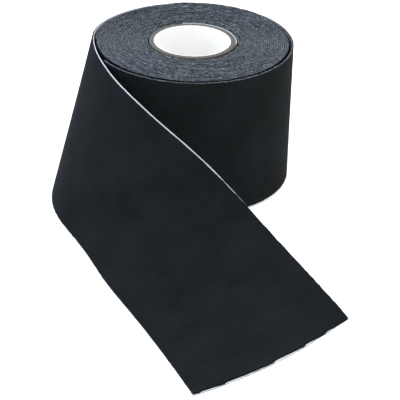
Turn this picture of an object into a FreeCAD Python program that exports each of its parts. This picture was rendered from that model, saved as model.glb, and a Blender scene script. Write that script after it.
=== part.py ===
import FreeCAD, Part
import Sketcher
import math
import os

# Roll of black elastic cloth tape on a cardboard core, with its loose end drawn off.
# Frame: +Z up along the roll's axis, origin at the centre of the core's lower end, mm.
doc = FreeCAD.newDocument("tape_roll")

# ---------------------------------------------------------------- driving dimensions
DRIVING = [
    # name, value, what it is
    ("tape_width", 50.0, "width of the tape and of its paper liner"),
    ("fabric_thick", 0.45, "elastic woven cloth"),
    ("glue_thick", 0.08, "adhesive coat on the inside of the cloth"),
    ("liner_thick", 0.12, "release paper"),
    ("fabric_inset", 0.2, "cloth edge stands back from the liner edge, each side"),
    ("bore_radius", 13.1, "hole in the core"),
    ("core_lining", 0.3, "white paper inside the core"),
    ("core_board", 1.4, "grey board of the core"),
    ("core_cover", 0.3, "outer paper ply of the core"),
    ("starter_thick", 0.3, "double-sided strip that holds the first turn"),
    ("starter_sweep", 112.0, "how far the strip runs round the core, degrees"),
    ("starter_angle", -8.0, "where the strip begins, degrees from +X"),
    ("half_turns", 55.0, "half turns of tape wound on the core"),
    ("roll_radius", 35.3, "outside of the last wrap"),
    ("wrap_sweep", 250.0, "how far the loose last wrap runs round the roll, degrees"),
    ("takeoff_angle", 102.0, "where the tail leaves the roll, degrees from +X"),
    ("joint_gap", 0.1, "gap where one moving piece ends and the next begins"),
    ("peel_gap", 0.02, "gap between the peeling tip and the liner under it"),
    ("peel_at", 185.0, "distance along the tail to the peel line"),
    ("tail_length", 219.0, "distance along the tail to the cut end of the cloth"),
    ("liner_over", 0.8, "how far the liner runs past the cloth"),
    ("tail_step", 0.5, "step used to lay the tail out"),
]

# How the tail curves: distance along it (mm), then degrees per mm of bend round its
# width, twist along its length and turn in its own plane, at that distance.
TAIL_SHAPE = [
    (0.0, 1.62, 0.0, 0.0),
    (25.0, 1.22, -0.04, 0.11),
    (50.0, 1.19, -0.49, 0.15),
    (75.0, 0.63, -0.45, 0.17),
    (90.0, 1.29, -0.32, 0.03),
    (105.0, 0.58, -0.09, -0.14),
    (130.0, -0.26, -1.0, -0.08),
    (170.0, -0.51, 0.0, -0.11),
    (216.0, -0.45, -0.23, -0.11),
]

# How far the tail's long edges curl outwards: distance along it, then the height (mm).
TAIL_CURL = [(0.0, 0.0), (40.0, -1.1), (80.0, -1.3), (120.0, -0.1), (165.0, 0.9), (216.0, 2.1)]
LETTERS = "abcdefghi"

sheet = doc.addObject("Spreadsheet::Sheet", "Dimensions")
row = 1


def driving_cell(name, value, meaning):
    """One named cell of the sheet, with what it means beside it."""
    global row
    sheet.set("A%d" % row, name)
    sheet.set("B%d" % row, repr(float(value)))
    sheet.set("C%d" % row, meaning)
    sheet.setAlias("B%d" % row, name)
    row += 1


for name, value, meaning in DRIVING:
    driving_cell(name, value, meaning)
for letter, station in zip(LETTERS, TAIL_SHAPE):
    for word, value in zip(("at", "bend", "twist", "turn"), station):
        driving_cell("tail_%s_%s" % (word, letter), value, "tail shape")
for letter, (at, height) in zip(LETTERS, TAIL_CURL):
    driving_cell("curl_at_" + letter, at, "tail curl")
    driving_cell("curl_height_" + letter, height, "tail curl")
driving_cell("pitch", 0.0, "one layer of tape: cloth, adhesive and liner")
sheet.set(sheet.getCellFromAlias("pitch"), "=fabric_thick + glue_thick + liner_thick")
driving_cell("lining_radius", 0.0, "outside of the core's white lining")
sheet.set(sheet.getCellFromAlias("lining_radius"), "=bore_radius + core_lining")
driving_cell("board_radius", 0.0, "outside of the core's grey board")
sheet.set(sheet.getCellFromAlias("board_radius"), "=lining_radius + core_board")
driving_cell("core_radius", 0.0, "outside of the core")
sheet.set(sheet.getCellFromAlias("core_radius"), "=board_radius + core_cover")
driving_cell("starter_radius", 0.0, "outside of the starter strip")
sheet.set(sheet.getCellFromAlias("starter_radius"), "=core_radius + starter_thick")
driving_cell("wind_radius", 0.0, "inside of the first turn, clear of the strip all round")
sheet.set(sheet.getCellFromAlias("wind_radius"), "=starter_radius + pitch / 4")
driving_cell("wrap_cloth_radius", 0.0, "inside of the last wrap's cloth")
sheet.set(sheet.getCellFromAlias("wrap_cloth_radius"), "=roll_radius - fabric_thick")
driving_cell("wrap_glue_radius", 0.0, "inside of the last wrap's adhesive")
sheet.set(sheet.getCellFromAlias("wrap_glue_radius"), "=wrap_cloth_radius - glue_thick")
driving_cell("wrap_liner_radius", 0.0, "inside of the last wrap's liner")
sheet.set(sheet.getCellFromAlias("wrap_liner_radius"), "=roll_radius - pitch")
driving_cell("no_inset", 0.0, "for the pieces that run the full width")
doc.recompute()


def val(alias):
    """A driving dimension read back from the sheet."""
    return float(sheet.get(alias))


# ---------------------------------------------------------------- core, strip, last wrap
def plane(body, role):
    """One of the body's own origin planes."""
    for feature in body.Origin.OriginFeatures:
        if feature.Role == role:
            return feature
    raise ValueError(role)


def swept_ring(label, inner, outer, inset, sweep=None, start=0.0):
    """A rectangular section swept round +Z: a full ring, or part of one from a start angle."""
    body = doc.addObject("PartDesign::Body", label)
    body.Label = label
    sketch = body.newObject("Sketcher::SketchObject", label + "_section")
    sketch.AttachmentSupport = [(plane(body, "XZ_Plane"), "")]
    sketch.MapMode = "FlatFace"
    r0, r1 = val(inner), val(outer)
    z0, z1 = val(inset), val("tape_width") - val(inset)
    corners = [(r0, z0), (r1, z0), (r1, z1), (r0, z1)]
    points = [FreeCAD.Vector(x, y, 0) for x, y in corners]
    for i in range(4):
        sketch.addGeometry(Part.LineSegment(points[i], points[(i + 1) % 4]), False)
    for i in range(4):
        sketch.addConstraint(Sketcher.Constraint("Coincident", i, 2, (i + 1) % 4, 1))
    for line, kind in ((0, "Horizontal"), (1, "Vertical"), (2, "Horizontal"), (3, "Vertical")):
        sketch.addConstraint(Sketcher.Constraint(kind, line))
    sketch.addConstraint(Sketcher.Constraint("DistanceX", -1, 1, 0, 1, r0))
    sketch.addConstraint(Sketcher.Constraint("DistanceX", -1, 1, 0, 2, r1))
    sketch.addConstraint(Sketcher.Constraint("DistanceY", 1, 1, 1, 2, z1 - z0))
    names = {8: ("inner_radius", "Dimensions." + inner),
             9: ("outer_radius", "Dimensions." + outer),
             10: ("height", "Dimensions.tape_width - 2 * Dimensions." + inset)}
    if z0 > 0:
        sketch.addConstraint(Sketcher.Constraint("DistanceY", -1, 1, 0, 1, z0))
        names[11] = ("foot", "Dimensions." + inset)
    else:
        sketch.addConstraint(Sketcher.Constraint("PointOnObject", 0, 1, -1))
    for index, (title, expression) in names.items():
        sketch.renameConstraint(index, title)
        sketch.setExpression("Constraints." + title, expression)
    turn = body.newObject("PartDesign::Revolution", label + "_sweep")
    turn.Profile = (sketch, [""])
    turn.ReferenceAxis = (sketch, ["V_Axis"])
    turn.Angle = 360.0
    if sweep:
        turn.setExpression("Angle", "Dimensions." + sweep)
    body.Placement = FreeCAD.Placement(FreeCAD.Vector(0, 0, 0),
                                       FreeCAD.Rotation(FreeCAD.Vector(0, 0, 1), start))
    return body


made = []
made.append(swept_ring("core_lining_ply", "bore_radius", "lining_radius", "no_inset"))
made.append(swept_ring("core_board_ply", "lining_radius", "board_radius", "no_inset"))
made.append(swept_ring("core_cover_ply", "board_radius", "core_radius", "no_inset"))
made.append(swept_ring("starter_strip", "core_radius", "starter_radius", "no_inset",
                       "starter_sweep", val("starter_angle")))

wrap_start = val("takeoff_angle") - val("wrap_sweep")
made.append(swept_ring("wrap_liner", "wrap_liner_radius", "wrap_glue_radius", "no_inset",
                       "wrap_sweep", wrap_start))
made.append(swept_ring("wrap_adhesive", "wrap_glue_radius", "wrap_cloth_radius",
                       "fabric_inset", "wrap_sweep", wrap_start))
made.append(swept_ring("wrap_fabric", "wrap_cloth_radius", "roll_radius", "fabric_inset",
                       "wrap_sweep", wrap_start))


# ---------------------------------------------------------------- the winding
def solid_feature(label, shape):
    """A node whose shape no ready-made feature gives."""
    feature = doc.addObject("Part::Feature", label)
    feature.Label = label
    feature.Shape = shape
    feature.Placement = FreeCAD.Placement()
    made.append(feature)


def half_circle(centre, radius, upper):
    """Half circle from +X to -X over the top, or from -X to +X under the bottom."""
    side = 1.0 if upper else -1.0
    first = centre + FreeCAD.Vector(side * radius, 0, 0)
    middle = centre + FreeCAD.Vector(0, side * radius, 0)
    last = centre - FreeCAD.Vector(side * radius, 0, 0)
    return Part.Arc(first, middle, last).toShape()


def winding(label, below, thick, inset):
    """One layer of the winding: half circles about two centres a half pitch apart, so
    that each turn lies on the one inside it."""
    pitch = val("pitch")
    count = int(round(val("half_turns")))
    edges = {}
    for face, offset in (("inner", below), ("outer", below + thick)):
        arcs = []
        for k in range(count):
            upper = k % 2 == 0
            centre = FreeCAD.Vector(-pitch / 4 if upper else pitch / 4, 0, inset)
            arcs.append(half_circle(centre, val("wind_radius") + k * pitch / 2 + offset, upper))
        edges[face] = arcs
    start = Part.LineSegment(edges["inner"][0].firstVertex().Point,
                             edges["outer"][0].firstVertex().Point).toShape()
    end = Part.LineSegment(edges["inner"][-1].lastVertex().Point,
                           edges["outer"][-1].lastVertex().Point).toShape()
    outline = Part.Wire(Part.__sortEdges__(edges["inner"] + edges["outer"] + [start, end]))
    height = val("tape_width") - 2 * inset
    solid_feature(label, Part.Face(outline).extrude(FreeCAD.Vector(0, 0, height)))


glue_at = val("liner_thick")
cloth_at = glue_at + val("glue_thick")
winding("wound_liner", 0.0, val("liner_thick"), 0.0)
winding("wound_adhesive", glue_at, val("glue_thick"), val("fabric_inset"))
winding("wound_fabric", cloth_at, val("fabric_thick"), val("fabric_inset"))


# ---------------------------------------------------------------- the tail
def between(stations, distance, column):
    """Straight-line value between two stations of a list."""
    for a, b in zip(stations, stations[1:]):
        if distance <= b[0]:
            share = (distance - a[0]) / (b[0] - a[0])
            return a[column] + share * (b[column] - a[column])
    return stations[-1][column]


def lay_tail():
    """Centre point and frame of the tail at every step along it. The frame is the
    direction along the tape, across it, and outwards from its cloth face."""
    shape = [tuple(val("tail_%s_%s" % (word, letter)) for word in ("at", "bend", "twist", "turn"))
             for letter in LETTERS[:len(TAIL_SHAPE)]]
    start = math.radians(val("takeoff_angle"))
    out = FreeCAD.Vector(math.cos(start), math.sin(start), 0)
    along = FreeCAD.Vector(-math.sin(start), math.cos(start), 0)
    across = FreeCAD.Vector(0, 0, 1)
    point = out * val("roll_radius") + across * (val("tape_width") / 2)
    step = val("tail_step")
    frames = [(point, along, across, out)]
    total = val("tail_length") + val("liner_over")
    for k in range(int(round(total / step)) + 1):
        middle = (k + 0.5) * step
        bend, twist, turn = (between(shape, middle, column) for column in (1, 2, 3))
        spin = across * bend + along * twist + out * turn
        rotation = FreeCAD.Rotation(spin, spin.Length * step)
        ahead = rotation.multVec(along)
        point = point + (along + ahead) * (step / 2)
        along, across, out = ahead, rotation.multVec(across), rotation.multVec(out)
        frames.append((point, along, across, out))
    return frames


tail_frames = lay_tail()
curl_stations = [(val("curl_at_" + letter), val("curl_height_" + letter))
                 for letter in LETTERS[:len(TAIL_CURL)]]


def skin(first, last, width, depth):
    """Smooth face over the tail from one distance to another, a depth below the
    cloth's outer face."""
    step = val("tail_step")
    count = max(3, int(round((last - first) / 5.0)))
    rows = []
    for i in range(count + 1):
        distance = first + (last - first) * i / count
        lower = min(int(distance / step), len(tail_frames) - 2)
        share = distance / step - lower
        here, there = tail_frames[lower], tail_frames[lower + 1]
        point, across, out = (here[n] + (there[n] - here[n]) * share for n in (0, 2, 3))
        curl = between(curl_stations, distance, 1)
        points = []
        for j in range(7):
            side = -1.0 + j / 3.0
            lift = curl * (side * width / val("tape_width")) ** 2 - depth
            points.append(point + across * (side * width / 2) + out * lift)
        rows.append(points)
    surface = Part.BSplineSurface()
    surface.interpolate(rows)
    return surface


def ribbon(label, first, last, width, top, bottom):
    """A layer of the tail: the space between two such faces."""
    skins = [skin(first, last, width, depth) for depth in (top, bottom)]
    faces = [s.toShape() for s in skins]
    rims = []
    for s in skins:
        u0, u1, v0, v1 = s.bounds()
        rims.append([s.uIso(u0), s.uIso(u1), s.vIso(v0), s.vIso(v1)])
    for upper, lower in zip(*rims):
        faces.append(Part.makeRuledSurface(upper.toShape(), lower.toShape(), 1))
    sewn = Part.makeCompound(faces)
    sewn.sewShape()
    solid = Part.Solid(sewn.Shells[0])
    if solid.Volume < 0:
        solid.reverse()
    solid_feature(label, solid)


cloth_width = val("tape_width") - 2 * val("fabric_inset")
cloth_depth = val("fabric_thick")
glue_depth = cloth_depth + val("glue_thick")
liner_depth = glue_depth + val("liner_thick")
tail_start = val("joint_gap")
peel_line = val("peel_at")
tip_start = peel_line + val("joint_gap")
cloth_end = val("tail_length")
liner_end = cloth_end + val("liner_over")

ribbon("tail_liner", tail_start, liner_end, val("tape_width"), glue_depth, liner_depth)
ribbon("tail_adhesive", tail_start, peel_line, cloth_width, cloth_depth, glue_depth)
ribbon("tail_fabric", tail_start, peel_line, cloth_width, 0.0, cloth_depth)
ribbon("tip_adhesive", tip_start, cloth_end, cloth_width, cloth_depth,
       glue_depth - val("peel_gap"))
ribbon("tip_fabric", tip_start, cloth_end, cloth_width, 0.0, cloth_depth)

# ---------------------------------------------------------------- check and write
doc.recompute()
for item in doc.Objects:
    if "Invalid" in item.State or "Error" in item.State:
        raise RuntimeError("%s did not build: %s" % (item.Label, item.State))
os.makedirs("parts", exist_ok=True)
for item in made:
    if item.Shape.isNull() or not item.Shape.isValid() or item.Shape.Volume <= 0:
        raise RuntimeError("%s has no sound shape" % item.Label)
    item.Shape.exportStep("parts/%s.step" % item.Label)
    box = item.Shape.BoundBox
    print("%-16s %9.1f mm3  x %.2f..%.2f  y %.2f..%.2f  z %.2f..%.2f" % (
        item.Label, item.Shape.Volume, box.XMin, box.XMax, box.YMin, box.YMax,
        box.ZMin, box.ZMax))
frame_at = tail_frames[int(round(val("peel_at") / val("tail_step")))]
curl_at = between(curl_stations, val("peel_at"), 1)
hinge = frame_at[0] + frame_at[3] * curl_at
print("peel line through (%.3f, %.3f, %.3f), along (%.4f, %.4f, %.4f)" % (
    tuple(hinge) + tuple(frame_at[2])))
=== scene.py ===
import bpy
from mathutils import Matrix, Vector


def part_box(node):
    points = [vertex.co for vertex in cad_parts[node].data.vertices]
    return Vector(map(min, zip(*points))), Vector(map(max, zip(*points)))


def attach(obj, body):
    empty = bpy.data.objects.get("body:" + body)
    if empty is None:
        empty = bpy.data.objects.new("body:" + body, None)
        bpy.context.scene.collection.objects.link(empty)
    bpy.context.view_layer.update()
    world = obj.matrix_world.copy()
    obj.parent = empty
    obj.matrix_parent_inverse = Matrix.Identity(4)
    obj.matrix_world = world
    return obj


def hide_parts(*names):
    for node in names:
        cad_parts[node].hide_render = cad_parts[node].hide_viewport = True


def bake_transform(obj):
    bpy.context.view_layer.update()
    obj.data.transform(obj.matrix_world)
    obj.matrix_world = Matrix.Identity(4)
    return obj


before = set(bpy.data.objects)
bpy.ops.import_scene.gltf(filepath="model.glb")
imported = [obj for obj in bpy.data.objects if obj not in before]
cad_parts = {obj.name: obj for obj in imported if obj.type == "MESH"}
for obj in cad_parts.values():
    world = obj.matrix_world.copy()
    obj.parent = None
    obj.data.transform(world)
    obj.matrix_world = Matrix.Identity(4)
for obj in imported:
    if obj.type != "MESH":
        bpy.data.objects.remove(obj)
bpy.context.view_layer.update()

import math
import random
import bmesh
import bpy
from mathutils import Matrix, Vector, noise

# ---------------------------------------------------------------- core lining
# The white paper ply inside the core: wound in a spiral and glued to the board behind it,
# so its bore is smooth and bright and its cut end is a little furry.
MM = 0.001
bore_radius = 13.1 * MM
lining_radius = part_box("core_lining_ply")[1].x
board_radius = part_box("core_board_ply")[1].x
core_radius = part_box("core_cover_ply")[1].x
core_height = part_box("core_board_ply")[1].z
sharp_angle = math.radians(22)
rim_reach = 0.15 * MM


def linear(code):
    """A colour written as sRGB hex, as the linear values a shader takes."""
    parts = [int(code[i:i + 2], 16) / 255 for i in (0, 2, 4)]
    return tuple(p / 12.92 if p <= 0.04045 else ((p + 0.055) / 1.055) ** 2.4
                 for p in parts) + (1.0,)


def put(material, kind, inputs=None, **settings):
    """Adds a node; an input is a value or the socket that feeds it."""
    made = material.node_tree.nodes.new(kind)
    for key, value in settings.items():
        setattr(made, key, value)
    for key, value in (inputs or {}).items():
        if isinstance(value, bpy.types.NodeSocket):
            material.node_tree.links.new(value, made.inputs[key])
        else:
            made.inputs[key].default_value = value
    return made


def new_material(name, roughness, **sockets):
    """A material and its shader."""
    material = bpy.data.materials.new(name)
    material.use_nodes = True
    shader = material.node_tree.nodes["Principled BSDF"]
    shader.inputs["Roughness"].default_value = roughness
    for key, value in sockets.items():
        shader.inputs[key.replace("_", " ")].default_value = value
    return material, shader


def feed(material, shader, **links):
    """Links sockets into the shader."""
    for key, socket in links.items():
        material.node_tree.links.new(socket, shader.inputs[key.replace("_", " ")])


def piece(name, bm, material, body, finish, *nodes):
    """Makes the finished mesh a piece that rides on a body and stands for its CAD nodes."""
    bmesh.ops.recalc_face_normals(bm, faces=bm.faces)
    mesh = bpy.data.meshes.new(name)
    bm.to_mesh(mesh)
    bm.free()
    mesh.materials.append(material)
    made = bpy.data.objects.new(name, mesh)
    bpy.context.scene.collection.objects.link(made)
    for face in mesh.polygons:
        face.use_smooth = True
    mesh.set_sharp_from_angle(angle=sharp_angle)
    if body:
        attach(made, body)
    if nodes:
        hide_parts(*nodes)
    return made


def section(bm, inner, outer, low, high, soft, across=1):
    """Closed outline of a ring's cut at +X, its corners cut back by soft; across adds
    points along its top."""
    tops = [(outer - soft - (outer - inner - 2 * soft) * i / across, high)
            for i in range(across + 1)]
    outline = [(inner, low + soft), (inner + soft, low), (outer - soft, low),
               (outer, low + soft), (outer, high - soft)] + tops + [(inner, high - soft)]
    points = [bm.verts.new((x, 0, z)) for x, z in outline]
    edges = [bm.edges.new((points[i], points[(i + 1) % len(points)]))
             for i in range(len(points))]
    return points + edges


def roughen(bm, low, high, size, depth):
    """Lifts and drops the points near either end by a grain of that size."""
    for vert in bm.verts:
        for level, side in ((low, -1), (high, 1)):
            if abs(vert.co.z - level) < rim_reach:
                vert.co.z += side * depth * (noise.noise(vert.co / size) - 0.3)


def core_ply(name, inner, outer, material, finish, node, grain, depth, across):
    """A paper ply of the core, spun from its cut section."""
    bm = bmesh.new()
    cut = section(bm, inner, outer, 0, core_height, 0.05 * MM, across)
    bmesh.ops.spin(bm, geom=cut, cent=(0, 0, 0), axis=(0, 0, 1), angle=2 * math.pi,
                   steps=240, use_merge=True)
    bmesh.ops.remove_doubles(bm, verts=bm.verts, dist=0.001 * MM)
    roughen(bm, 0, core_height, grain, depth)
    piece(name, bm, material, "roll", finish, node)


# bleached kraft paper: white and matt, with a faint fibre grain
paper, shader = new_material("bleached_paper_lining", 0.75)
place = put(paper, "ShaderNodeTexCoord")
fibre = put(paper, "ShaderNodeTexNoise", {"Vector": place.outputs["Object"],
                                          "Scale": 1 / (0.8 * MM), "Detail": 5.0})
tint = put(paper, "ShaderNodeMix", {"Factor": fibre.outputs["Fac"],
                                    "A": linear("f7f6f3"), "B": linear("ffffff")},
           data_type="RGBA")
relief = put(paper, "ShaderNodeBump", {"Height": fibre.outputs["Fac"], "Strength": 0.15,
                                       "Distance": 0.05 * MM})
feed(paper, shader, Base_Color=tint.outputs["Result"], Normal=relief.outputs["Normal"])
core_ply("core_lining", bore_radius, lining_radius, paper, "white_paper",
         "core_lining_ply", 0.6 * MM, 0.06 * MM, 1)

# ---------------------------------------------------------------- core board
# Grey-brown chipboard, several plies wound and glued, sawn to length: the cut end shows
# the plies as faint rings and is rough and fibrous.
board, shader = new_material("grey_chipboard", 0.9)
place = put(board, "ShaderNodeTexCoord")
fibre = put(board, "ShaderNodeTexNoise", {"Vector": place.outputs["Object"],
                                          "Scale": 1 / (0.45 * MM), "Detail": 6.0,
                                          "Roughness": 0.7})
rings = put(board, "ShaderNodeTexWave", {"Vector": place.outputs["Object"],
                                         "Scale": 0.314 / (0.4 * MM), "Distortion": 1.5,
                                         "Detail": 2.0, "Detail Scale": 2.0},
            wave_type="RINGS", rings_direction="Z")
mixed = put(board, "ShaderNodeMix", {"Factor": 0.35, "A": fibre.outputs["Fac"],
                                     "B": rings.outputs["Fac"]})
tint = put(board, "ShaderNodeValToRGB", {"Fac": mixed.outputs["Result"]})
tint.color_ramp.elements[0].position = 0.25
tint.color_ramp.elements[0].color = linear("403f3c")
tint.color_ramp.elements[1].position = 0.75
tint.color_ramp.elements[1].color = linear("6c6a64")
relief = put(board, "ShaderNodeBump", {"Height": mixed.outputs["Result"], "Strength": 0.6,
                                       "Distance": 0.12 * MM})
feed(board, shader, Base_Color=tint.outputs["Color"], Normal=relief.outputs["Normal"])
core_ply("core_board", lining_radius, board_radius, board, "grey_board",
         "core_board_ply", 0.5 * MM, 0.18 * MM, 5)

# ---------------------------------------------------------------- core cover
# The outermost ply of the core, brown kraft paper that the first turn of tape is stuck to.
cover, shader = new_material("kraft_paper_cover", 0.85)
place = put(cover, "ShaderNodeTexCoord")
fibre = put(cover, "ShaderNodeTexNoise", {"Vector": place.outputs["Object"],
                                          "Scale": 1 / (0.35 * MM), "Detail": 5.0})
tint = put(cover, "ShaderNodeMix", {"Factor": fibre.outputs["Fac"],
                                    "A": linear("474540"), "B": linear("65625a")},
           data_type="RGBA")
relief = put(cover, "ShaderNodeBump", {"Height": fibre.outputs["Fac"], "Strength": 0.3,
                                       "Distance": 0.08 * MM})
feed(cover, shader, Base_Color=tint.outputs["Result"], Normal=relief.outputs["Normal"])
core_ply("core_cover", board_radius, core_radius, cover, "kraft_paper",
         "core_cover_ply", 0.4 * MM, 0.12 * MM, 1)

# ---------------------------------------------------------------- starter strip
# The pale double-sided tissue strip that holds the first turn, run part of the way round
# the core and standing a hair above it.
strip_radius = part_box("starter_strip")[1].x
strip_start, strip_sweep = math.radians(-8), math.radians(112)
strip_top = core_height + 0.1 * MM
tissue, shader = new_material("double_sided_tissue", 0.5)
place = put(tissue, "ShaderNodeTexCoord")
fibre = put(tissue, "ShaderNodeTexNoise", {"Vector": place.outputs["Object"],
                                           "Scale": 1 / (0.5 * MM), "Detail": 4.0})
tint = put(tissue, "ShaderNodeMix", {"Factor": fibre.outputs["Fac"],
                                     "A": linear("a2a4a6"), "B": linear("cdcfd0")},
           data_type="RGBA")
relief = put(tissue, "ShaderNodeBump", {"Height": fibre.outputs["Fac"], "Strength": 0.2,
                                        "Distance": 0.05 * MM})
feed(tissue, shader, Base_Color=tint.outputs["Result"], Normal=relief.outputs["Normal"])
bm = bmesh.new()
cut = section(bm, core_radius, strip_radius, 0, strip_top, 0.04 * MM)
bmesh.ops.rotate(bm, verts=cut[:len(cut) // 2], cent=(0, 0, 0),
                 matrix=Matrix.Rotation(strip_start, 3, "Z"))
swept = bmesh.ops.spin(bm, geom=cut, cent=(0, 0, 0), axis=(0, 0, 1),
                       angle=strip_sweep, steps=90)
for rim in (cut, swept["geom_last"]):
    bm.faces.new([part for part in rim if isinstance(part, bmesh.types.BMVert)])
roughen(bm, -1, strip_top, 1.5 * MM, 0.12 * MM)
piece("starter", bm, tissue, "roll", "tissue_tape", "starter_strip")

# ---------------------------------------------------------------- wound cloth
# About twenty-seven turns of elastic cloth. Each turn is two half circles about centres
# half a pitch apart, so it lies on the turn inside it; the slit edges are ragged.
cloth_thick, glue_thick, liner_thick = 0.45 * MM, 0.08 * MM, 0.12 * MM
pitch = cloth_thick + glue_thick + liner_thick
tape_width = core_height
half_turns = 55
wind_radius = strip_radius + pitch / 4


def wind(below, thick, low, high, soft, across, wander, ragged, fine):
    """A layer of the winding: its section spun by half turns about two centres. wander is
    how far its edge drifts from turn to turn, ragged how far it frays, fine the fray's size.
    The odd multiples of turn only keep one turn's noise unlike the next one's."""
    bm = bmesh.new()
    half = bpy.data.meshes.new("half_turn")
    for k in range(half_turns):
        arc = bmesh.new()
        inner = wind_radius + k * pitch / 2 + below
        rim = section(arc, inner, inner + thick, low, high, soft, across)
        bmesh.ops.spin(arc, geom=rim, cent=(0, 0, 0), axis=(0, 0, 1), angle=math.pi, steps=90)
        if k % 2:
            bmesh.ops.rotate(arc, verts=arc.verts, cent=(0, 0, 0),
                             matrix=Matrix.Rotation(math.pi, 3, "Z"))
        bmesh.ops.translate(arc, verts=arc.verts,
                            vec=(pitch / 4 if k % 2 else -pitch / 4, 0, 0))
        arc.to_mesh(half)
        arc.free()
        bm.from_mesh(half)
    bpy.data.meshes.remove(half)
    bmesh.ops.remove_doubles(bm, verts=bm.verts, dist=0.001 * MM)
    bmesh.ops.holes_fill(bm, edges=[edge for edge in bm.edges if edge.is_boundary])
    for vert in bm.verts:
        angle = math.atan2(vert.co.y, vert.co.x) % (2 * math.pi)
        away = vert.co.xy.length
        turn = round((away - wind_radius - pitch * angle / (2 * math.pi)) / pitch)
        along = away * angle + turn * 0.117
        side = 1 if vert.co.z > tape_width / 2 else -1
        drift = noise.noise(Vector((along / (9 * MM), turn * 3.71, side)))
        fray = noise.noise(Vector((along / fine, turn * 5.3, away / (0.2 * MM))))
        vert.co.z += side * (wander * drift + ragged * fray)
    return bm


# black cotton-elastane cut across its weft: dark fibre ends with a grey lint on them
cut_cloth, shader = new_material("elastic_cloth_slit_edge", 0.85, Sheen_Weight=0.03,
                                 Sheen_Roughness=0.5, Specular_IOR_Level=0.2)
place = put(cut_cloth, "ShaderNodeTexCoord")
lint = put(cut_cloth, "ShaderNodeTexNoise", {"Vector": place.outputs["Object"],
                                             "Scale": 1 / (0.5 * MM), "Detail": 4.0,
                                             "Roughness": 0.75})
tint = put(cut_cloth, "ShaderNodeValToRGB", {"Fac": lint.outputs["Fac"]})
tint.color_ramp.elements[0].position = 0.42
tint.color_ramp.elements[0].color = linear("0f1316")
tint.color_ramp.elements[1].position = 0.66
tint.color_ramp.elements[1].color = linear("535f69")
relief = put(cut_cloth, "ShaderNodeBump", {"Height": lint.outputs["Fac"], "Strength": 0.8,
                                           "Distance": 0.2 * MM})
feed(cut_cloth, shader, Base_Color=tint.outputs["Color"], Normal=relief.outputs["Normal"])
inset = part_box("wound_fabric")[0].z
bm = wind(liner_thick + glue_thick, cloth_thick, inset, tape_width - inset, 0.06 * MM, 2,
          0.16 * MM, 0.2 * MM, 0.9 * MM)
wound_cloth = piece("wound_cloth", bm, cut_cloth, "roll", "elastic_cloth", "wound_fabric")

# ---------------------------------------------------------------- wound adhesive
# The adhesive coat under each turn of cloth, a hazy line between cloth and liner that lies
# a little below their slit edges.
glue, shader = new_material("acrylic_adhesive_coat", 0.35, IOR=1.47)
place = put(glue, "ShaderNodeTexCoord")
haze = put(glue, "ShaderNodeTexNoise", {"Vector": place.outputs["Object"],
                                        "Scale": 1 / (1.2 * MM), "Detail": 3.0})
tint = put(glue, "ShaderNodeMix", {"Factor": haze.outputs["Fac"],
                                   "A": linear("34373a"), "B": linear("585c60")},
           data_type="RGBA")
relief = put(glue, "ShaderNodeBump", {"Height": haze.outputs["Fac"], "Strength": 0.3,
                                      "Distance": 0.05 * MM})
feed(glue, shader, Base_Color=tint.outputs["Result"], Normal=relief.outputs["Normal"])
glue_sunk = 0.35 * MM
bm = wind(liner_thick, glue_thick, inset, tape_width - glue_sunk, 0.02 * MM, 1,
          0.15 * MM, 0.05 * MM, 2.0 * MM)
wound_glue = piece("wound_glue", bm, glue, "roll", "adhesive", "wound_adhesive")

# ---------------------------------------------------------------- wound liner
# The white release paper between the turns. Its slit edge is what draws the pale arcs on
# the roll's end: it stands a little proud in places and is buried in others.
release, shader = new_material("silicone_release_paper", 0.45, IOR=1.45)
place = put(release, "ShaderNodeTexCoord")
fibre = put(release, "ShaderNodeTexNoise", {"Vector": place.outputs["Object"],
                                            "Scale": 1 / (1.5 * MM), "Detail": 4.0})
tint = put(release, "ShaderNodeMix", {"Factor": fibre.outputs["Fac"],
                                      "A": linear("c3c8ce"), "B": linear("dadee3")},
           data_type="RGBA")
relief = put(release, "ShaderNodeBump", {"Height": fibre.outputs["Fac"], "Strength": 0.12,
                                         "Distance": 0.04 * MM})
feed(release, shader, Base_Color=tint.outputs["Result"], Normal=relief.outputs["Normal"])
# the slit edges of the paper, greyed by lint from the cloth; the same grey also serves as
# painted shade along the tail liner's torn end
slit_paper_and_end_shade, shader = new_material("release_paper_slit_edge_and_end_shade", 0.7)
place = put(slit_paper_and_end_shade, "ShaderNodeTexCoord")
fibre = put(slit_paper_and_end_shade, "ShaderNodeTexNoise", {"Vector": place.outputs["Object"],
                                               "Scale": 1 / (1.1 * MM), "Detail": 4.0,
                                               "Roughness": 0.7})
tint = put(slit_paper_and_end_shade, "ShaderNodeValToRGB", {"Fac": fibre.outputs["Fac"]})
tint.color_ramp.elements[0].position = 0.42
tint.color_ramp.elements[0].color = linear("343a40")
tint.color_ramp.elements[1].position = 0.68
tint.color_ramp.elements[1].color = linear("aab3bb")
relief = put(slit_paper_and_end_shade, "ShaderNodeBump", {"Height": fibre.outputs["Fac"], "Strength": 0.3,
                                            "Distance": 0.08 * MM})
feed(slit_paper_and_end_shade, shader, Base_Color=tint.outputs["Color"], Normal=relief.outputs["Normal"])
liner_sunk = 0.24 * MM
bm = wind(0, liner_thick, 0.1 * MM, tape_width - liner_sunk, 0.02 * MM, 1,
          0.32 * MM, 0.1 * MM, 1.4 * MM)
wound_liner = piece("wound_liner_paper", bm, slit_paper_and_end_shade, "roll", "release_liner", "wound_liner")

# ---------------------------------------------------------------- last wrap
# The outermost turn, 250 degrees of it, slack since the tail was drawn off: cloth,
# adhesive and liner run back round the roll from the line where the tail leaves it.
roll_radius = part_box("wrap_fabric")[1].x
takeoff = math.radians(102)
wrap_sweep = math.radians(250)
past_wrap = math.radians(300)
wrap_glue_sunk = 0.6 * MM

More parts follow.
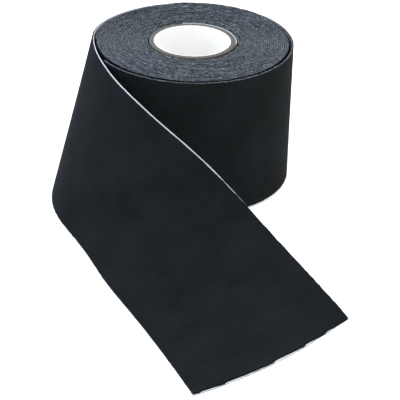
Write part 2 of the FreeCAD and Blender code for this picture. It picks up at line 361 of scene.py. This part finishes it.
# black cotton-elastane cloth, plain weave with crepe threads: dead matt, with a soft
# mottle. Its 0.4 mm threads are drawn 0.8 mm apart to show at all.
cloth, shader = new_material("black_elastic_cotton_cloth", 0.9, Specular_IOR_Level=0.04)
flat = put(cloth, "ShaderNodeUVMap", uv_map="tape")
thread = 0.8 * MM
across_threads = put(cloth, "ShaderNodeTexWave", {"Vector": flat.outputs["UV"],
                                                  "Scale": 0.314 / thread, "Distortion": 1.2,
                                                  "Detail": 2.0, "Detail Scale": 1.5},
                     wave_type="BANDS", bands_direction="X")
along_threads = put(cloth, "ShaderNodeTexWave", {"Vector": flat.outputs["UV"],
                                                 "Scale": 0.314 / (1.3 * thread),
                                                 "Distortion": 1.2, "Detail": 2.0,
                                                 "Detail Scale": 1.5},
                    wave_type="BANDS", bands_direction="Y")
weave = put(cloth, "ShaderNodeMath", {0: across_threads.outputs["Fac"],
                                      1: along_threads.outputs["Fac"]}, operation="MULTIPLY")
fuzz = put(cloth, "ShaderNodeTexNoise", {"Vector": flat.outputs["UV"],
                                         "Scale": 1 / (0.9 * MM), "Detail": 6.0,
                                         "Roughness": 0.7})
mottle = put(cloth, "ShaderNodeTexNoise", {"Vector": flat.outputs["UV"],
                                           "Scale": 1 / (14 * MM), "Detail": 2.0})
height = put(cloth, "ShaderNodeMath", {0: weave.outputs["Value"], 1: fuzz.outputs["Fac"]},
             operation="ADD")
shade = put(cloth, "ShaderNodeMath", {0: fuzz.outputs["Fac"], 1: mottle.outputs["Fac"]},
            operation="MULTIPLY")
tint = put(cloth, "ShaderNodeValToRGB", {"Fac": shade.outputs["Value"]})
tint.color_ramp.elements[0].position = 0.12
tint.color_ramp.elements[0].color = linear("121415")
tint.color_ramp.elements[1].position = 0.42
tint.color_ramp.elements[1].color = linear("1a1d1f")
relief = put(cloth, "ShaderNodeBump", {"Height": height.outputs["Value"], "Strength": 0.4,
                                       "Distance": 0.15 * MM})
feed(cloth, shader, Base_Color=tint.outputs["Color"], Normal=relief.outputs["Normal"])

# The faces of the wound turns are this same cloth; only their slit edges are furred.
wound_cloth.data.materials.append(cloth)
wound_map = wound_cloth.data.uv_layers.new(name="tape")
for face in wound_cloth.data.polygons:
    face.material_index = 1 if abs(face.normal.z) < 0.5 else 0
    middle = math.atan2(face.center.y, face.center.x)
    for loop in face.loop_indices:
        spot = wound_cloth.data.vertices[wound_cloth.data.loops[loop].vertex_index].co
        angle = math.atan2(spot.y, spot.x)
        angle -= 2 * math.pi * round((angle - middle) / (2 * math.pi))
        wound_map.data[loop].uv = (spot.z - tape_width / 2, angle * roll_radius)


def wrap_layer(name, inner, outer, low, high, soft, material, finish, node,
               rim_finish=None):
    """One layer of the last wrap, spun from its section back from the take-off line."""
    bm = bmesh.new()
    rim = section(bm, inner, outer, low, high, soft, 2)
    first = [part for part in rim if isinstance(part, bmesh.types.BMVert)]
    bmesh.ops.rotate(bm, verts=first, cent=(0, 0, 0),
                     matrix=Matrix.Rotation(takeoff - wrap_sweep, 3, "Z"))
    swept = bmesh.ops.spin(bm, geom=rim, cent=(0, 0, 0), axis=(0, 0, 1), angle=wrap_sweep,
                           steps=300)["geom_last"]
    bm.faces.new(first)
    bm.faces.new([part for part in swept if isinstance(part, bmesh.types.BMVert)])
    for vert in bm.verts:
        side = 1 if vert.co.z > tape_width / 2 else -1
        if abs(vert.co.z - tape_width / 2) > tape_width / 2 - 0.5 * MM:
            vert.co.z += side * 0.12 * MM * noise.noise(vert.co / (2.5 * MM))
    sheet_map = bm.loops.layers.uv.new("tape")
    for face in bm.faces:
        for loop in face.loops:
            back = (takeoff - math.atan2(loop.vert.co.y, loop.vert.co.x)) % (2 * math.pi)
            if back > past_wrap:
                back -= 2 * math.pi
            loop[sheet_map].uv = (loop.vert.co.z - tape_width / 2, -back * roll_radius)
    made = piece(name, bm, material, "wrap", finish, node)
    if rim_finish:
        made.data.materials.append(rim_finish)
        for face in made.data.polygons:
            if abs(face.normal.z) > 0.5:
                face.material_index = 1


glue_inner = roll_radius - cloth_thick - glue_thick
wrap_layer("wrap_cloth", roll_radius - cloth_thick, roll_radius, inset, tape_width - inset,
           0.08 * MM, cloth, "elastic_cloth", "wrap_fabric", cut_cloth)
wrap_layer("wrap_glue", glue_inner, roll_radius - cloth_thick, inset,
           tape_width - wrap_glue_sunk, 0.02 * MM, glue, "adhesive", "wrap_adhesive")
wrap_layer("wrap_liner_paper", roll_radius - pitch, glue_inner, 0,
           tape_width - liner_sunk, 0.02 * MM, slit_paper_and_end_shade, "release_liner", "wrap_liner")

# ---------------------------------------------------------------- tail
# The free end of the tape. Every layer is cut flat, then laid along the way the tape
# bends round the roll, twists over and runs out along the table.
# The values of both lists were fitted by least squares and rounded. They were
# not chosen by hand.
TAIL_SHAPE = [  # distance along (mm); bend, twist and turn there (degrees per mm)
    (0, 1.62, 0.0, 0.0), (25, 1.22, -0.04, 0.11), (50, 1.19, -0.49, 0.15),
    (75, 0.63, -0.45, 0.17), (90, 1.29, -0.32, 0.03), (105, 0.58, -0.09, -0.14),
    (130, -0.26, -1.0, -0.08), (170, -0.51, 0.0, -0.11), (216, -0.45, -0.23, -0.11)]
TAIL_CURL = [  # distance along (mm); how far the long edges curl outwards there (mm)
    (-99, 0.0), (0, 0.0), (40, -1.1), (80, -1.3), (120, -0.1), (165, 0.9), (216, 2.1),
    (299, 2.1)]
curl_spread = range(-12, 13, 4)
laid_length = 224
tail_step = 0.5
tail_length = 219 * MM
peel_line = 185 * MM
liner_over = 0.8 * MM


def between(stations, distance, column):
    """Straight-line value between two stations of a list."""
    for a, b in zip(stations, stations[1:]):
        if distance <= b[0]:
            return a[column] + (distance - a[0]) / (b[0] - a[0]) * (b[column] - a[column])
    return stations[-1][column]


def lay_tail(step):
    """Centre point, across and outward directions of the tail at every step (mm)."""
    along = Vector((-math.sin(takeoff), math.cos(takeoff), 0))
    out = Vector((math.cos(takeoff), math.sin(takeoff), 0))
    across = Vector((0, 0, 1))
    point = out * roll_radius + across * tape_width / 2
    rows = [(point, across, out)]
    for k in range(int(laid_length / step)):
        bend, twist, turn = (between(TAIL_SHAPE, (k + 0.5) * step, n) for n in (1, 2, 3))
        spin = across * bend + along * twist + out * turn
        turned = Matrix.Rotation(math.radians(spin.length * step), 3, spin)
        ahead = turned @ along
        point = point + (along + ahead) * (step * MM / 2)
        along, across, out = ahead, turned @ across, turned @ out
        rows.append((point, across, out))
    return rows


tail_rows = lay_tail(tail_step)


def on_tail(side, distance, depth):
    """Where a point of the flat tape comes to lie: side and distance on the flat, depth
    from the cloth's outer face."""
    place = max(distance / MM / tail_step, 0)
    lower = min(int(place), len(tail_rows) - 2)
    here, there = tail_rows[lower], tail_rows[lower + 1]
    point, across, out = (here[n].lerp(there[n], place - lower) for n in range(3))
    curl = sum(between(TAIL_CURL, distance / MM + shift, 1) for shift in curl_spread)
    lift = curl / len(curl_spread) * MM * (side / (tape_width / 2)) ** 2 + depth
    return point + across * side + out * lift


def cut_flat(left, right, start, end, cell, top, bottom):
    """A closed flat strip of tape on a square grid, from one depth to another."""
    bm = bmesh.new()
    bmesh.ops.create_grid(bm, x_segments=int(round((right - left) / cell)),
                          y_segments=int(round((end - start) / cell)), size=0.5)
    bmesh.ops.scale(bm, vec=(right - left, end - start, 1), verts=bm.verts)
    bmesh.ops.translate(bm, vec=((left + right) / 2, (start + end) / 2, top), verts=bm.verts)
    bmesh.ops.recalc_face_normals(bm, faces=bm.faces)
    below = bmesh.ops.extrude_face_region(bm, geom=bm.faces[:])["geom"]
    bmesh.ops.translate(bm, vec=(0, 0, bottom - top),
                        verts=[part for part in below if isinstance(part, bmesh.types.BMVert)])
    bmesh.ops.recalc_face_normals(bm, faces=bm.faces)
    return bm


def lay(name, bm, material, finish, *nodes):
    """Maps the flat strip for its weave, then lays it along the tail."""
    sheet_map = bm.loops.layers.uv.new("tape")
    for face in bm.faces:
        for loop in face.loops:
            loop[sheet_map].uv = loop.vert.co.xy
    for vert in bm.verts:
        vert.co = on_tail(*vert.co)
    return piece(name, bm, material, None, finish, *nodes)


creep_from, creep_over = 134, 14  # mm


def slit(bm, left, right, depth, grain, creep=0.0):
    """Makes the long slit edges waver as the knife leaves them. creep is how far the upper
    edge of the cloth drifts out over its liner on the way to the cut end."""
    for vert in bm.verts:
        for edge in (left, right):
            if abs(vert.co.x - edge) < 0.01 * MM:
                vert.co.x += depth * noise.noise(Vector((vert.co.y / grain, edge * 999, 0)))
                if edge == right:
                    gone = max(vert.co.y / MM - creep_from, 0) / creep_over
                    vert.co.x += creep * min(gone, 1)


upper = tape_width / 2
cloth_left, cloth_right = -upper + 0.1 * MM, upper - 0.38 * MM
glue_depth = -cloth_thick - glue_thick

bm = cut_flat(cloth_left, cloth_right, 0.1 * MM, peel_line, 1.0 * MM, 0, -cloth_thick)
slit(bm, cloth_left, cloth_right, 0.15 * MM, 2.0 * MM, 0.3 * MM)
tail_cloth = lay("tail_cloth", bm, cloth, "elastic_cloth", "tail_fabric")
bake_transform(tail_cloth)

bm = cut_flat(cloth_left, cloth_right, 0.1 * MM, peel_line, 2.0 * MM, -cloth_thick, glue_depth)
tail_glue = lay("tail_glue", bm, glue, "adhesive", "tail_adhesive")
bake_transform(tail_glue)

# ---------------------------------------------------------------- tail liner
# One strip of release paper under the whole tail, cut a little wider than the cloth and
# torn off just past it. A thin grey band along its end is painted shade: the shadow on the
# paper's cut edge.
bm = cut_flat(-upper, upper, 0.1 * MM, tail_length + liner_over, 1.0 * MM, glue_depth, -pitch)
slit(bm, -upper, upper, 0.06 * MM, 6.0 * MM)
# the width of the painted shade band along the liner's torn end
shade_band_width = 0.25 * MM
shade_band_start = tail_length + liner_over - shade_band_width
slant_back = 0.7 * MM
slant_from, slant_over = 8, 8  # mm
sunk_until = 20 * MM
bmesh.ops.bisect_plane(bm, geom=bm.verts[:] + bm.edges[:] + bm.faces[:],
                       plane_co=(0, shade_band_start, 0), plane_no=(0, 1, 0))
# faces in that band take the grey edge material: painted shade on the paper's cut end
for face in bm.faces:
    if min(vert.co.y for vert in face.verts) > shade_band_start - 0.01 * MM:
        face.material_index = 1
for vert in bm.verts:
    if vert.co.y > tail_length:
        vert.co.y += 0.3 * MM * noise.noise(Vector((vert.co.x / (4 * MM), 8.2, 0)))
        vert.co.y -= slant_back * min(max(vert.co.x / MM - slant_from, 0) / slant_over, 1)
    if vert.co.x > upper - 0.2 * MM:
        vert.co.x -= liner_sunk * max(1 - vert.co.y / sunk_until, 0)
tail_liner = lay("tail_liner_paper", bm, release, "release_liner", "tail_liner")
# the grey edge material, here a band of painted shade along the torn end
tail_liner.data.materials.append(slit_paper_and_end_shade)
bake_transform(tail_liner)

# ---------------------------------------------------------------- tip
# The last stretch of cloth, which peels off the liner. It was torn off against a blade,
# so its end steps forward in shallow scallops with fine teeth on them.
scallop_pitch, scallop_depth, scallop_start = 9 * MM, 0.95, 0.35
drift_size, drift_depth = 11 * MM, 0.7
tooth_size, tooth_depth = 1.6 * MM, 0.35
cut_back = 0.6


def cut_end(side):
    """How far the cut end stands past its line, at a place across the tape."""
    drift = drift_depth * noise.noise(Vector((side / drift_size, 6.4, 0)))
    place = side / scallop_pitch + scallop_start + drift
    scallop = (place % 1.0) ** 2 * scallop_depth
    teeth = noise.noise(Vector((side / tooth_size, 3.1, 0))) * tooth_depth
    return (scallop + teeth - cut_back) * MM


def tip_layer(name, top, bottom, cell, material, finish, node):
    """A layer of the tip, its end cut along the scallops."""
    bm = cut_flat(cloth_left, cloth_right, peel_line, tail_length, cell, top, bottom)
    slit(bm, cloth_left, cloth_right, 0.15 * MM, 2.0 * MM, 0.3 * MM)
    for vert in bm.verts:
        near = max(0, 1 - (tail_length - vert.co.y) / (4 * MM))
        vert.co.y += near * cut_end(vert.co.x)
    made = lay(name, bm, material, finish, node)
    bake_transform(made)


tip_layer("tip_cloth", 0, -cloth_thick, 0.4 * MM, cloth, "elastic_cloth", "tip_fabric")
tip_layer("tip_glue", -cloth_thick, glue_depth + 0.02 * MM, 1.0 * MM, glue, "adhesive",
          "tip_adhesive")

# ---------------------------------------------------------------- loose threads
# Short ends of black thread pulled out of the weave along the cut.
thread_count = 90
thread_radius = 0.055 * MM
thread_steps = 4
random.seed(7)
bm = bmesh.new()
for _ in range(thread_count):
    side = random.uniform(cloth_left + 0.3 * MM, cloth_right - 0.3 * MM)
    length = random.uniform(0.25, 0.9) * MM
    lean = random.uniform(-0.6, 0.6)
    rise = random.uniform(-0.1, 0.25) * MM
    ring = bmesh.ops.create_circle(bm, segments=5, radius=thread_radius)["verts"]
    bmesh.ops.rotate(bm, verts=ring, cent=(0, 0, 0), matrix=Matrix.Rotation(math.pi / 2, 3, "X"))
    bmesh.ops.translate(bm, verts=ring,
                        vec=(side, tail_length + cut_end(side) - 0.3 * MM, -0.22 * MM))
    edges = list({edge for vert in ring for edge in vert.link_edges})
    bm.faces.new(ring)
    for step in range(thread_steps):
        grown = bmesh.ops.extrude_edge_only(bm, edges=edges)["geom"]
        ring = [part for part in grown if isinstance(part, bmesh.types.BMVert)]
        edges = [part for part in grown if isinstance(part, bmesh.types.BMEdge)
                 and all(vert in ring for vert in part.verts)]
        bmesh.ops.translate(bm, verts=ring, vec=(lean * length * step / 6,
                                                 length / thread_steps,
                                                 rise * step / thread_steps))
    bmesh.ops.contextual_create(bm, geom=edges)
sheet_map = bm.loops.layers.uv.new("tape")
for face in bm.faces:
    for loop in face.loops:
        loop[sheet_map].uv = loop.vert.co.xy
for vert in bm.verts:
    vert.co = on_tail(*vert.co)
piece("loose_threads", bm, cloth, "tip", "elastic_cloth")

# ---------------------------------------------------------------- floor
# A plain white acrylic panel, glowing faintly and evenly so that shadows all but vanish.
card, shader = new_material("white_acrylic_panel", 0.9, Emission_Strength=0.3,
                            Emission_Color=(1.0, 1.0, 1.0, 1.0))
place = put(card, "ShaderNodeTexCoord")
grain = put(card, "ShaderNodeTexNoise", {"Vector": place.outputs["Object"], "Scale": 8.0,
                                         "Detail": 2.0})
tint = put(card, "ShaderNodeMix", {"Factor": grain.outputs["Fac"],
                                   "A": linear("fbfbfb"), "B": linear("ffffff")},
           data_type="RGBA")
feed(card, shader, Base_Color=tint.outputs["Result"])
bm = bmesh.new()
bmesh.ops.create_grid(bm, x_segments=4, y_segments=4, size=3.0)
floor_drop = 0.0003
bmesh.ops.translate(bm, verts=bm.verts, vec=(0, 0, -floor_drop))
mesh = bpy.data.meshes.new("floor")
bm.to_mesh(mesh)
bm.free()
mesh.materials.append(card)
floor = bpy.data.objects.new("floor", mesh)
bpy.context.scene.collection.objects.link(floor)

# ---------------------------------------------------------------- light
# Even white light from all round, with a broad soft box overhead and slightly behind, and
# a smaller, cooler one low on the left.
world = bpy.data.worlds.new("studio")
bpy.context.scene.world = world
world.use_nodes = True
world.node_tree.nodes["Background"].inputs["Color"].default_value = (1.0, 1.0, 1.0, 1.0)
world.node_tree.nodes["Background"].inputs["Strength"].default_value = 1.2


def soft_box(name, place, target, size, power, colour):
    """A square area light aimed at a point."""
    data = bpy.data.lights.new(name, "AREA")
    data.size = size
    data.energy = power
    data.color = linear(colour)[:3]
    lamp = bpy.data.objects.new(name, data)
    bpy.context.scene.collection.objects.link(lamp)
    lamp.location = place
    lamp.rotation_euler = (Vector(target) - Vector(place)).to_track_quat("-Z", "Y").to_euler()


soft_box("overhead", (-0.1, 0.25, 0.9), (0, -0.03, 0), 0.9, 5.0, "f2f7ff")
soft_box("left_fill", (-0.9, 0.1, 0.3), (0, -0.03, 0.03), 0.6, 4.0, "9cc4ff")

# ---------------------------------------------------------------- camera
# A long lens above the roll, looking down at it by some 28 degrees. Its place, aim and
# focal length were fitted by least squares, not chosen by hand.
view_yaw, view_pitch, view_tilt = 0.0073, 0.4953, 0.0305
camera_place = (0, -0.5934, 0.3076)
focal_length = 166.788  # mm, on a sensor 36 mm wide
forward = Vector((math.sin(view_yaw) * math.cos(view_pitch),
                  math.cos(view_yaw) * math.cos(view_pitch), -math.sin(view_pitch)))
level = Vector((math.cos(view_yaw), -math.sin(view_yaw), 0))
raised = level.cross(forward)
right = level * math.cos(view_tilt) + raised * math.sin(view_tilt)
up = raised * math.cos(view_tilt) - level * math.sin(view_tilt)
lens = bpy.data.cameras.new("camera")
lens.sensor_width = 36
lens.lens = focal_length
camera = bpy.data.objects.new("camera", lens)
bpy.context.scene.collection.objects.link(camera)
camera.matrix_world = Matrix.Translation(camera_place) @ Matrix(
    (right, up, -forward)).transposed().to_4x4()
bpy.context.scene.camera = camera
bpy.context.scene.view_settings.view_transform = "Standard"
